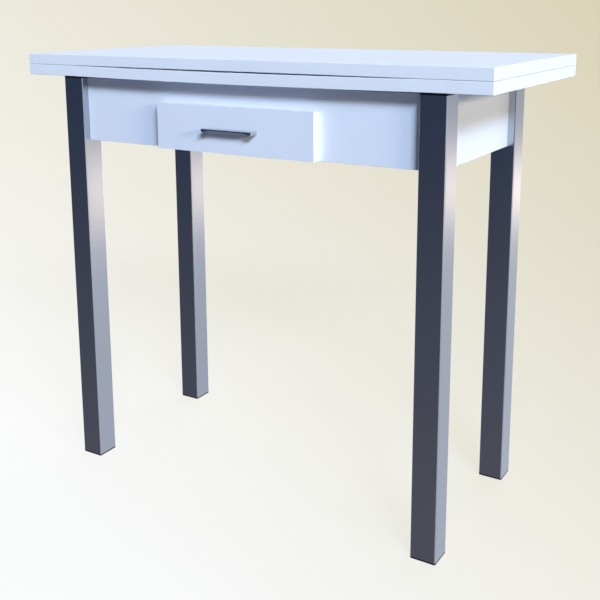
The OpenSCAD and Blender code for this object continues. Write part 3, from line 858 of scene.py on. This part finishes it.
@dataclass
class Legs:
    """Four square chromed tubes with black caps at both ends.

    Attributes:
        corner_r: the outer corner radius of the tube.
        wall: the wall of the tube.
        corner_steps: strips in a rounded corner.
        bolt_reach: how far from the leg's middle its own bolts lie at most.
        bolt_play: radial play of the bolts in the tube.
        drill_sides: how many sides a bolt's hole has.
        cap_ease: the rounding of a cap's rim.
        plug_play: play of the plug in the tube, each side.
        fin: how far a fin of the plug stands out of its core.
        fins: how many fins the plug has.
        plug_wall: the wall of the plug.
    """

    corner_r: float = 3 * MILLIMETRE
    wall: float = 1.5 * MILLIMETRE
    corner_steps: int = 8
    bolt_reach: float = 100 * MILLIMETRE
    bolt_play: float = 0.25 * MILLIMETRE
    drill_sides: int = 24
    cap_ease: float = 0.5 * MILLIMETRE
    plug_play: float = 0.1 * MILLIMETRE
    fin: float = 0.9 * MILLIMETRE
    fins: int = 3
    plug_wall: float = 2.5 * MILLIMETRE

    def upright(self, start: Vector, end: Vector) -> bool:
        """Whether an edge stands upright."""
        return abs((end - start).normalized().z) > UPRIGHT

    def tube(self) -> Piece:
        """Makes the front left leg, hollow, with the holes for its bolts.

        Returns:
            The new object.
        """
        low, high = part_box("leg_front_left")
        leg = block("leg_tube_front_left", low, high)
        soften(leg, self.corner_r, self.corner_steps, self.upright)
        inset = Vector((self.wall, self.wall, -self.wall))
        core = block("core", low + inset, high - inset)
        soften(core, self.corner_r - self.wall, self.corner_steps, self.upright)
        combine(leg, core, Join.CUT)
        middle = (low + high) / 2
        for seat in seats("bracket_bolts"):
            if (seat.head - middle).xy.length < self.bolt_reach:
                reach = seat.shank_r + self.bolt_play
                drill = turned("drill", (reach, reach), (-seat.length, 0), self.drill_sides)
                drill.data.transform(seat.matrix())
                combine(leg, drill, Join.CUT)
        tidy_mesh(leg)
        return leg

    def cap(self, name: str, node: str, plate: float, up: bool) -> Piece:
        """A cap with a finned plug.

        Args:
            name: the object's name.
            node: the node that gives its place.
            plate: the thickness of the part that shows.
            up: whether the plug points up.

        Returns:
            The new object.
        """
        low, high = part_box(node)
        way = 1 if up else -1
        foot = low.z if up else high.z
        seat = foot + way * plate
        ends = sorted((foot, seat))
        cap = block(name, (low.x, low.y, ends[0]), (high.x, high.y, ends[1]))
        soften(cap, self.corner_r, self.corner_steps, self.upright)
        soften(
            cap, self.cap_ease, steps=3,
            wanted=lambda a, b: abs(a.z - foot) < MERGE and abs(b.z - foot) < MERGE,
        )
        middle = (low + high) / 2
        half = (high.x - low.x) / 2
        tube = half - self.wall - self.plug_play
        core = tube - self.fin
        wide = tube / core
        inner = (core - self.plug_wall) / core
        depth = high.z - low.z - plate
        rise = depth / (2 * self.fins + 1)
        centre = (middle.x, middle.y, seat)

        def step(move: float = 0.0, scale: float = 1.0) -> Step:
            """A move along the plug and a scale about its middle."""
            return (0, 0, way * move), (scale, scale, 1), centre

        steps = [step(scale=core / half)]
        for _ in range(self.fins):
            steps += [step(rise), step(scale=wide), step(rise), step(scale=1 / wide)]
        steps += [step(rise), step(scale=inner), step(-depth)]
        lift_faces(cap, lambda c, n: n.z * way > SQUARE and abs(c.z - seat) < MERGE, steps)
        tidy_mesh(cap)
        return cap

    def build(self) -> None:
        """Models one leg and its caps, and copies them to the other corners."""
        tube = self.tube()
        tube_low, tube_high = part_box("leg_front_left")
        top_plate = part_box("top_cap_front_left")[1].z - tube_high.z
        foot = self.cap("foot_cap_piece", "foot_cap_front_left", tube_low.z, True)
        top = self.cap("top_cap_piece", "top_cap_front_left", top_plate, False)
        for kind, model, slot, finish in (
            ("leg", tube, Slot.LEG, Finishes.leg),
            ("foot_cap", foot, Slot.BLACK, Finishes.black),
            ("top_cap", top, Slot.BLACK, Finishes.black),
        ):
            for corner in CORNERS[1:]:
                target = f"{kind}_{corner}"
                copy = mirrored(model, f"{target}_finished", f"{kind}_front_left", target)
                finish_piece(copy, Body.FRAME, finish, (target,))
            model.name = f"{kind}_front_left_finished"
            finish_piece(model, Body.FRAME, finish, (f"{kind}_front_left",))


@dataclass
class Boards:
    """The rails and the drawer's boards: white faced chipboard with eased, banded edges.

    Attributes:
        ease: the rounding of the long edges.
        shortest: edges shorter than this stay sharp.
        rails: the boards of the frame.
        drawer: the boards of the drawer.
    """

    ease: float = 0.5 * MILLIMETRE
    shortest: float = 8 * MILLIMETRE
    rails: tuple[str, ...] = ("front_rail", "back_rail", "left_rail", "right_rail")
    drawer: tuple[str, ...] = ("drawer_front", "drawer_side_left", "drawer_side_right", "drawer_back")

    def board(self, node: str, body: Body) -> None:
        """Makes one board from its node.

        Args:
            node: the node.
            body: the body that carries it.
        """
        piece = carried_over(f"{node}_board", node)
        soften(piece, self.ease, steps=2, wanted=None, shortest=self.shortest)
        finish_piece(piece, body, Finishes.melamine, (node,), Finishes.chipboard)

    def build(self) -> None:
        """Makes every board."""
        for node in self.rails:
            self.board(node, Body.FRAME)
        for node in self.drawer:
            self.board(node, Body.DRAWER)


@dataclass
class Leaf:
    """One leaf of the top: a faced board in a plastic edge band.

    Attributes:
        body: the body that it is, whose name its nodes start with.
        sag: how far the middle of the front edge hangs.
        free_half: half the length that hangs free, between the legs.
        stations: how many cuts carry the sag along the board.
        shares: where the cuts across it lie, from the back, as shares of its width.
        curl: how closely the sag keeps to the front edge, so that the turned leaf clears the legs' caps.
        ease: the rounding of the band's outer edges.
        joint: the fine bevel where the facing meets the band.
        shortest: edges shorter than this stay sharp.
        broad: how far up or down a broad face looks at least, as the Z of its normal.
    """

    body: Body
    sag: float = 0.0
    free_half: float = 345 * MILLIMETRE
    stations: int = 17
    shares: tuple[float, ...] = (0.8, 0.88, 0.92, 0.95, 0.975)
    curl: int = 18
    ease: float = 0.8 * MILLIMETRE
    joint: float = 0.12 * MILLIMETRE
    shortest: float = 8 * MILLIMETRE
    broad: float = 0.6

    def hang(self, piece: Piece) -> None:
        """Lets the front edge hang by the sag in its middle, and less towards the legs.

        Args:
            piece: the board or its band.
        """
        low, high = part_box(f"{self.body.value}_band")
        width = high.y - low.y
        for number in range(self.stations):
            place = self.free_half * (2 * number / (self.stations - 1) - 1)
            slice_through(piece, (place, 0, 0), (1, 0, 0))
        for share in self.shares:
            slice_through(piece, (0, high.y - share * width, 0), (0, 1, 0))
        for vert in piece.data.vertices:
            along = max(0.0, 1 - (vert.co.x / self.free_half) ** 2)
            across = ((high.y - vert.co.y) / width) ** self.curl
            vert.co.z -= self.sag * along * across

    def build(self) -> None:
        """Makes the board and its band."""
        leaf = self.body.value
        board = carried_over(f"{leaf}_board", leaf)
        low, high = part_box(leaf)

        def on_face(start: Vector, end: Vector) -> bool:
            """Whether an edge lies on the rim of a broad face."""
            level = abs(start.z - end.z) < MERGE
            return level and min(abs(start.z - low.z), abs(start.z - high.z)) < MERGE

        soften(board, self.joint, steps=1, wanted=on_face, shortest=self.shortest)
        band = carried_over(f"{leaf}_edging", f"{leaf}_band")
        band_low, band_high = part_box(f"{leaf}_band")

        def outer(point: Vector) -> bool:
            """Whether a point lies on the band's outer faces."""
            along = min(point.x - band_low.x, band_high.x - point.x)
            return min(along, point.y - band_low.y, band_high.y - point.y) < MERGE

        soften(band, self.ease, steps=3, wanted=lambda a, b: outer(a) and outer(b), shortest=self.shortest)
        if self.sag:
            self.hang(board)
            self.hang(band)
        finish_piece(
            board, self.body, Finishes.melamine, (leaf,), Finishes.chipboard,
            lambda centre, normal: abs(normal.z) < self.broad,
        )
        finish_piece(band, self.body, Finishes.band, (f"{leaf}_band",))


@dataclass
class Handle:
    """The handle of the drawer: a flat ledge, arched below between its two ends.

    Attributes:
        end: the width of each end.
        slope: the length of the slope from an end up to the ledge.
        ledge: the thickness of the ledge.
        ease: the rounding of its edges.
    """

    end: float = 8 * MILLIMETRE
    slope: float = 7 * MILLIMETRE
    ledge: float = 3 * MILLIMETRE
    ease: float = 0.6 * MILLIMETRE

    def build(self) -> None:
        """Makes the handle from one block, whose underside is raised between its ends."""
        low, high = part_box("handle")
        piece = block("drawer_handle", low, high)
        arch = (high.x - low.x) / 2 - self.end
        for place in (-arch, self.slope - arch, arch - self.slope, arch):
            slice_through(piece, (place, 0, 0), (1, 0, 0))
        with bench(piece):
            pick_faces(piece, lambda c, n: n.z < -SQUARE and abs(c.x) < arch - self.slope)
            bpy.ops.transform.translate(value=(0, 0, high.z - low.z - self.ledge))
        soften(piece, self.ease, steps=3, wanted=lambda a, b: max(a.y, b.y) < high.y - MERGE)
        tidy_mesh(piece)
        finish_piece(piece, Body.DRAWER, Finishes.chrome, ("handle",))


class Head(Enum):
    """The heads of the table's fasteners."""

    PAN = "pan"
    FLAT = "flat"
    HEX = "hex"


@dataclass
class Fasteners:
    """One node's screws or bolts, all alike.

    Attributes:
        node: the node that they stand for.
        body: the body that carries them.
        head: the kind of head.
        head_height: the height of the head.
        sides: how many sides a round head has.
        shank_sides: how many sides a shank has.
        pan_round: the rounding of a pan head, as a share of its height.
        hex_round: the bevel of a bolt's head, as a share of its radius.
        pitch: the pitch of the thread.
        thread_depth: the depth of the thread.
    """

    node: str
    body: Body
    head: Head
    head_height: float
    sides: int = 24
    shank_sides: int = 16
    pan_round: float = 0.6
    hex_round: float = 0.14
    pitch: float = 1.8 * MILLIMETRE
    thread_depth: float = 0.35 * MILLIMETRE

    def crown(self, seat: Seat) -> Piece:
        """The head, with its outer end on the origin.

        Args:
            seat: gives the radii.

        Returns:
            The new object.
        """
        ends = (-self.head_height, 0)

        def on_top(start: Vector, end: Vector) -> bool:
            """Whether an edge lies on the rim of the head's outer end."""
            return start.z + end.z > -MERGE

        if self.head is Head.FLAT:
            return turned("head", (seat.shank_r, seat.head_r), ends, self.sides)
        if self.head is Head.PAN:
            head = turned("head", (seat.head_r, seat.head_r), ends, self.sides)
            soften(head, self.pan_round * self.head_height, steps=4, wanted=on_top)
            return head
        head = turned("head", (seat.head_r, seat.head_r), ends, 6)
        dome = turned("dome", (seat.head_r, seat.head_r), ends, 2 * self.sides)
        soften(dome, self.hex_round * seat.head_r, steps=1, wanted=on_top)
        combine(head, dome, Join.KEEP)
        return head

    def shank(self, seat: Seat) -> Piece:
        """The threaded shank, drawn down from under the head, with a point on a wood screw.

        Args:
            seat: gives the length and radii.

        Returns:
            The new object.
        """
        crest = seat.shank_r
        root = crest - self.thread_depth
        point = 0.0 if self.head is Head.HEX else 2 * crest
        neck = self.head_height + self.pitch
        shank = turned("shank", (crest, crest), (-neck, -self.head_height / 2), self.shank_sides)
        turns = int((seat.length - neck - point) / self.pitch)
        steps = []
        depth = neck
        for _ in range(turns):
            depth += self.pitch
            for scale in (root / crest, crest / root):
                steps.append(((0, 0, -self.pitch / 2), (scale, scale, 1), (0, 0, -depth)))
        left = seat.length - depth
        tip = 0.15 if point else 0.85
        steps.append(((0, 0, -left), (tip, tip, 1), (0, 0, -seat.length)))
        lift_faces(shank, lambda c, n: n.z < -SQUARE, steps)
        return shank

    def recess(self, head: Piece, seat: Seat) -> None:
        """Cuts the crossed slots for the driver.

        Args:
            head: the head.
            seat: gives the radii.
        """
        half, thin, deep = seat.head_r * 0.52, seat.head_r * 0.12, seat.head_r * 0.5
        for sizes in ((half, thin), (thin, half)):
            slot = block("slot", (-sizes[0], -sizes[1], -deep), (sizes[0], sizes[1], deep))
            with bench(slot):
                pick_faces(slot, lambda c, n: n.z < -SQUARE)
                bpy.ops.transform.resize(value=(0.5, 0.5, 1), center_override=(0, 0, -deep))
            combine(head, slot, Join.CUT)

    def build(self) -> None:
        """Models one fastener and puts a copy at every seat."""
        places = seats(self.node)
        model = self.crown(places[0])
        combine(model, self.shank(places[0]), Join.UNITE)
        if self.head is not Head.HEX:
            self.recess(model, places[0])
        tidy_mesh(model)
        copies = []
        for seat in places:
            copy = linked("copy", model.data.copy())
            copy.data.transform(seat.matrix())
            copies.append(copy)
        select_only(*copies)
        bpy.ops.object.join()
        group = bpy.context.object
        group.name = f"{self.node}_finished"
        bpy.data.objects.remove(model, do_unlink=True)
        finish_piece(group, self.body, Finishes.zinc, (self.node,))


@dataclass
class Hardware:
    """Brackets, hinges, pivot and runners: sheets with eased edges, and nodes that stay as they are.

    Attributes:
        sheet_ease: the rounding of a sheet's cut edges.
        shortest: edges shorter than this stay sharp.
        sharp: the least angle between the faces of an edge that is eased.
        sheets: the nodes of sheet steel, and the body of each.
        zinc: the nodes that stay as they are, of zinc-plated steel.
        hinges: the hinges' nodes, of the same steel.
        nylon: the nodes that stay as they are, of nylon.
        beech: the nodes that stay as they are, of beech.
    """

    sheet_ease: float = 0.3 * MILLIMETRE
    shortest: float = 2.2 * MILLIMETRE
    sharp: float = math.radians(70)
    sheets: tuple[tuple[str, Body], ...] = (
        *((f"corner_bracket_{corner}", Body.FRAME) for corner in CORNERS),
        ("angle_brackets", Body.FRAME),
        ("pivot_plate", Body.LOWER),
    )
    zinc: tuple[str, ...] = ("nut_blocks", "stop_pin", "pivot_washer", "pivot_nut")
    hinges: tuple[str, ...] = ("hinge_lower_halves", "hinge_upper_halves", "hinge_pins")
    nylon: tuple[str, ...] = ("pivot_bush", "runner_left", "runner_right")
    beech: tuple[str, ...] = ("pivot_board", "runner_board_left", "runner_board_right", "drawer_dowels")

    def build(self) -> None:
        """Eases the sheets and dresses the nodes that stay as they are."""
        for node, body in self.sheets:
            piece = carried_over(f"{node}_finished", node)
            soften(piece, self.sheet_ease, 1, None, self.shortest, (self.sharp, math.pi))
            finish_piece(piece, body, Finishes.zinc, (node,))
        for nodes, finish in (
            (self.zinc + self.hinges, Finishes.zinc),
            (self.nylon, Finishes.nylon),
            (self.beech, Finishes.beech),
            (("drawer_bottom",), Finishes.hardboard),
        ):
            for node in nodes:
                dress_node(node, finish)


@dataclass(frozen=True)
class Lamp:
    """A broad, soft panel of light that stands far off and leaves no glare on boards and metal.

    Attributes:
        name: the lamp's name.
        azimuth: the side that it shines from, in degrees from -Y towards +X.
        elevation: its height over the horizon, in degrees.
        spread: how wide and how tall it looks from the table, in degrees.
        strength: how brightly it lights a surface that faces it.
        colour: its colour.
        distance: how far off it stands.
    """

    name: str
    azimuth: float
    elevation: float
    spread: Pair
    strength: float
    colour: Colour
    distance: float = 50.0

    def build(self) -> None:
        """Hangs the lamp."""
        data = bpy.data.lights.new(self.name, "AREA")
        data.shape = "RECTANGLE"
        wide, tall = (math.tan(math.radians(part / 2)) for part in self.spread)
        data.size = 2 * self.distance * wide
        data.size_y = 2 * self.distance * tall
        data.energy = self.strength * (math.pi * self.distance) ** 2
        data.color = self.colour
        lamp = linked(self.name, data)
        turn, lean = math.radians(self.azimuth), math.radians(self.elevation)
        way = Vector((math.sin(turn) * math.cos(lean), -math.cos(turn) * math.cos(lean), math.sin(lean)))
        lamp.location = way * self.distance
        lamp.rotation_mode = "QUATERNION"
        lamp.rotation_quaternion = way.to_track_quat("Z", "Y")
        lamp.visible_glossy = False


@dataclass
class Viewpoint:
    """The photograph's camera.

    Attributes:
        place: the camera's place.
        azimuth: the side that it looks from, in degrees from -Y towards +X.
        elevation: its height over the horizon, in degrees.
        roll: its tilt, in degrees.
        focal_px: the focal length in pixels of the photograph.
        width_px: the width of the photograph.
        centre_px: the pixel that the lens points at, from the left and from the top.
    """

    place: Triple = (0.87534, -1.42088, 0.86753)
    azimuth: float = 31.274
    elevation: float = 11.252
    roll: float = -0.255
    focal_px: float = 917.29
    width_px: float = 600.0
    centre_px: Pair = (300.0, 190.0)

    def ahead(self) -> Vector:
        """The level direction that the camera looks in."""
        turn = math.radians(self.azimuth)
        return Vector((-math.sin(turn), math.cos(turn), 0))

    def build(self) -> None:
        """Sets up the camera."""
        data = bpy.data.cameras.new("camera")
        data.sensor_width = 36.0
        data.lens = self.focal_px / self.width_px * data.sensor_width
        data.shift_x = (self.width_px / 2 - self.centre_px[0]) / self.width_px
        data.shift_y = (self.centre_px[1] - self.width_px / 2) / self.width_px
        data.clip_start = 0.05
        camera = linked("camera", data)
        lean, tilt = math.radians(self.elevation), math.radians(self.roll)
        back = -self.ahead() * math.cos(lean) + UP * math.sin(lean)
        right = self.ahead().cross(UP)
        up = back.cross(right)
        level = math.cos(tilt) * right + math.sin(tilt) * up
        upright = math.cos(tilt) * up - math.sin(tilt) * right
        rotation = Matrix((level, upright, back)).transposed()
        camera.matrix_world = Matrix.Translation(self.place) @ rotation.to_4x4()
        bpy.context.scene.camera = camera


@dataclass
class Studio:
    """The floor, the room and the lamps.

    The camera sees a cream backdrop that pales towards the lower left. Metal mirrors a pale cool room
    with a dark part in front of the table.

    Attributes:
        view: the camera.
        floor_half: half the side of the floor.
        near_cream: the backdrop at the lower left.
        far_cream: the backdrop at the upper right.
        shadow_share: how much of the floor's look near the table comes from the lamps.
        bounce: the light that the floor throws back on the table.
        pale: the room that metal mirrors.
        glow: the warm strip low in the room.
        dim: the duller part above the strip.
        dark_level: the dark part of the room, level with the table.
        dark_low: the dark part of the room, near the floor.
        sky: the colour of the light from all round.
        sky_power: its strength.
        slope: how much faster the backdrop pales downwards than to the left.
        fade: where the backdrop starts and stops to pale.
        glow_height: how far under the horizon the warm strip lies.
        glow_span: how far from its middle the strip stays full, and where it ends.
        dim_height: how far under the horizon the duller part lies.
        dim_span: how far from its middle that part stays full, and where it ends.
        low_span: the heights between which the dark part changes its colour.
        dark_span: how squarely a direction looks to the front where the dark part starts and is full.
        settled: the distances from the table's middle between which its shadows fade out.
        lamps: the lamps.
    """

    view: Viewpoint
    floor_half: float = 60.0
    near_cream: Colour = (0.985, 0.985, 0.975)
    far_cream: Colour = (0.697, 0.649, 0.469)
    shadow_share: float = 0.11
    bounce: Colour = (0.185, 0.19, 0.222)
    pale: Colour = (0.68, 0.72, 0.785)
    glow: Colour = (2.1, 1.8, 1.55)
    dim: Colour = (0.55, 0.56, 0.61)
    dark_level: Colour = (0.046, 0.064, 0.112)
    dark_low: Colour = (0.155, 0.152, 0.172)
    sky: Colour = (0.9, 0.95, 1.0)
    sky_power: float = 0.03
    slope: float = 1.13
    fade: Pair = (-0.35, 0.95)
    glow_height: float = 0.19
    glow_span: Pair = (0.01, 0.05)
    dim_height: float = 0.08
    dim_span: Pair = (0.02, 0.08)
    low_span: Pair = (-0.5, -0.1)
    dark_span: Pair = (0.1, 0.45)
    settled: Pair = (1.2, 4.0)
    lamps: tuple[Lamp, ...] = (
        Lamp("key", 47.0, 32.0, (20.0, 9.0), 1.36, (0.64, 0.78, 1.0)),
        Lamp("side", 74.0, 14.0, (14.0, 8.0), 0.56, (1.0, 0.88, 0.64)),
        Lamp("over", 180.0, 62.0, (30.0, 30.0), 0.46, (0.93, 0.96, 1.0)),
    )

    def cream(self, wiring: Wiring, way: Socket) -> Socket:
        """The backdrop's colour in a direction from the camera.

        Args:
            wiring: the shader tree to work in.
            way: the direction.

        Returns:
            The colour.
        """
        ahead = self.view.ahead()
        depth = wiring.dot(way, ahead)
        fall = wiring.dot(way, -(ahead.cross(UP) + UP * self.slope))
        least_depth = 0.25
        ratio = wiring.number("DIVIDE", fall, wiring.number("MAXIMUM", depth, least_depth))
        return wiring.blend(wiring.remap(ratio, 0.0, 1.0, self.fade), self.far_cream, self.near_cream)

    def room(self, wiring: Wiring, way: Socket) -> Socket:
        """The colour of the room in a direction, as metal mirrors it.

        Args:
            wiring: the shader tree to work in.
            way: the direction.

        Returns:
            The colour.
        """
        height = wiring.add("SeparateXYZ", {0: way}).outputs["Z"]
        near, level = (
            wiring.number("ABSOLUTE", wiring.number("ADD", height, under))
            for under in (self.glow_height, self.dim_height)
        )
        upper = wiring.blend(wiring.remap(level, 1.0, 0.0, self.dim_span), self.pale, self.dim)
        lit = wiring.blend(wiring.remap(near, 1.0, 0.0, self.glow_span), upper, self.glow)
        low = wiring.remap(height, 1.0, 0.0, self.low_span)
        dark = wiring.blend(low, self.dark_level, self.dark_low)
        front = Vector((self.view.ahead().x, -self.view.ahead().y, 0))
        facing = wiring.remap(wiring.dot(way, front), 0.0, 1.0, self.dark_span)
        return wiring.blend(facing, lit, dark)

    def floor(self) -> None:
        """Lays the floor, which the camera sees through from below."""
        bpy.ops.mesh.primitive_plane_add(size=2 * self.floor_half)
        ground = settle("floor")
        material = bpy.data.materials.new("pale_floor")
        material.use_nodes = True
        tree = material.node_tree
        wiring = Wiring(tree)
        shader = tree.nodes["Principled BSDF"]
        shader.inputs["Roughness"].default_value = 0.9
        shader.inputs["Specular IOR Level"].default_value = 0.0
        spot = wiring.add("TexCoord").outputs["Object"]
        way = wiring.add("VectorMath", {0: spot, 1: self.view.place}, operation="SUBTRACT").outputs[0]
        cream = self.cream(wiring, way)
        path = wiring.add("LightPath")
        bounce = wiring.blend(path.outputs["Is Camera Ray"], self.bounce, cream)
        tree.links.new(bounce, shader.inputs["Base Color"])
        surface = wiring.add("NewGeometry")
        incoming = surface.outputs["Incoming"]
        travel = wiring.add("VectorMath", {0: incoming, "Scale": -1.0}, operation="SCALE")
        glossy = path.outputs["Is Glossy Ray"]
        shown = wiring.blend(glossy, cream, self.room(wiring, travel.outputs[0]))
        glow = wiring.add("Emission", {"Color": shown, "Strength": 1.0})
        reach = wiring.add("VectorMath", {0: spot}, operation="LENGTH").outputs["Value"]
        steady = wiring.remap(reach, 1 - self.shadow_share, 1.0, self.settled)
        seen = wiring.number("MULTIPLY", path.outputs["Is Camera Ray"], steady)
        share = wiring.number("MAXIMUM", seen, glossy)
        lit = wiring.add("MixShader", {0: share, 1: shader.outputs[0], 2: glow.outputs[0]})
        clear = wiring.add("BsdfTransparent")
        below = surface.outputs["Backfacing"]
        under = wiring.add("MixShader", {0: below, 1: lit.outputs[0], 2: clear.outputs[0]})
        tree.links.new(under.outputs[0], tree.nodes["Material Output"].inputs["Surface"])
        ground.data.materials.append(material)

    def heaven(self) -> None:
        """Sets the light from all round, and what the camera and the metal see past the floor."""
        world = bpy.data.worlds.new("studio")
        bpy.context.scene.world = world
        world.use_nodes = True
        tree = world.node_tree
        wiring = Wiring(tree)
        light = tree.nodes["Background"]
        light.inputs["Color"].default_value = (*self.sky, 1)
        light.inputs["Strength"].default_value = self.sky_power
        way = wiring.add("TexCoord").outputs["Generated"]
        path = wiring.add("LightPath")
        glossy = path.outputs["Is Glossy Ray"]
        shown = wiring.blend(glossy, self.cream(wiring, way), self.room(wiring, way))
        backdrop = wiring.add("Background", {"Color": shown, "Strength": 1.0})
        seen = wiring.number("MAXIMUM", path.outputs["Is Camera Ray"], glossy)
        mix = wiring.add("MixShader", {0: seen, 1: light.outputs[0], 2: backdrop.outputs[0]})
        tree.links.new(mix.outputs[0], tree.nodes["World Output"].inputs["Surface"])

    def build(self) -> None:
        """Makes the floor, the room and the lamps."""
        self.floor()
        self.heaven()
        for lamp in self.lamps:
            lamp.build()
        bpy.context.scene.view_settings.view_transform = "Standard"


def main() -> None:
    """Builds every piece, the studio and the camera."""
    logging.basicConfig(level=logging.INFO, format="%(name)s: %(message)s")
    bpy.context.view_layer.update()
    Legs().build()
    Boards().build()
    Leaf(Body.LOWER, sag=2.3 * MILLIMETRE).build()
    Leaf(Body.UPPER).build()
    Handle().build()
    Hardware().build()
    for fastener in (
        Fasteners("bracket_bolts", Body.FRAME, Head.HEX, 5.3 * MILLIMETRE, pitch=2.5 * MILLIMETRE),
        Fasteners("bracket_screws", Body.FRAME, Head.PAN, 2 * MILLIMETRE),
        Fasteners("angle_screws", Body.FRAME, Head.PAN, 2 * MILLIMETRE),
        Fasteners("runner_screws", Body.FRAME, Head.FLAT, 2 * MILLIMETRE),
        Fasteners("pivot_plate_screws", Body.LOWER, Head.FLAT, 2.8 * MILLIMETRE),
        Fasteners("hinge_lower_screws", Body.LOWER, Head.FLAT, 1.5 * MILLIMETRE),
        Fasteners("hinge_upper_screws", Body.UPPER, Head.FLAT, 1.5 * MILLIMETRE),
        Fasteners("handle_screws", Body.DRAWER, Head.PAN, 2 * MILLIMETRE),
    ):
        fastener.build()
    view = Viewpoint()
    view.build()
    Studio(view).build()


if __name__ == "__main__":
    main()
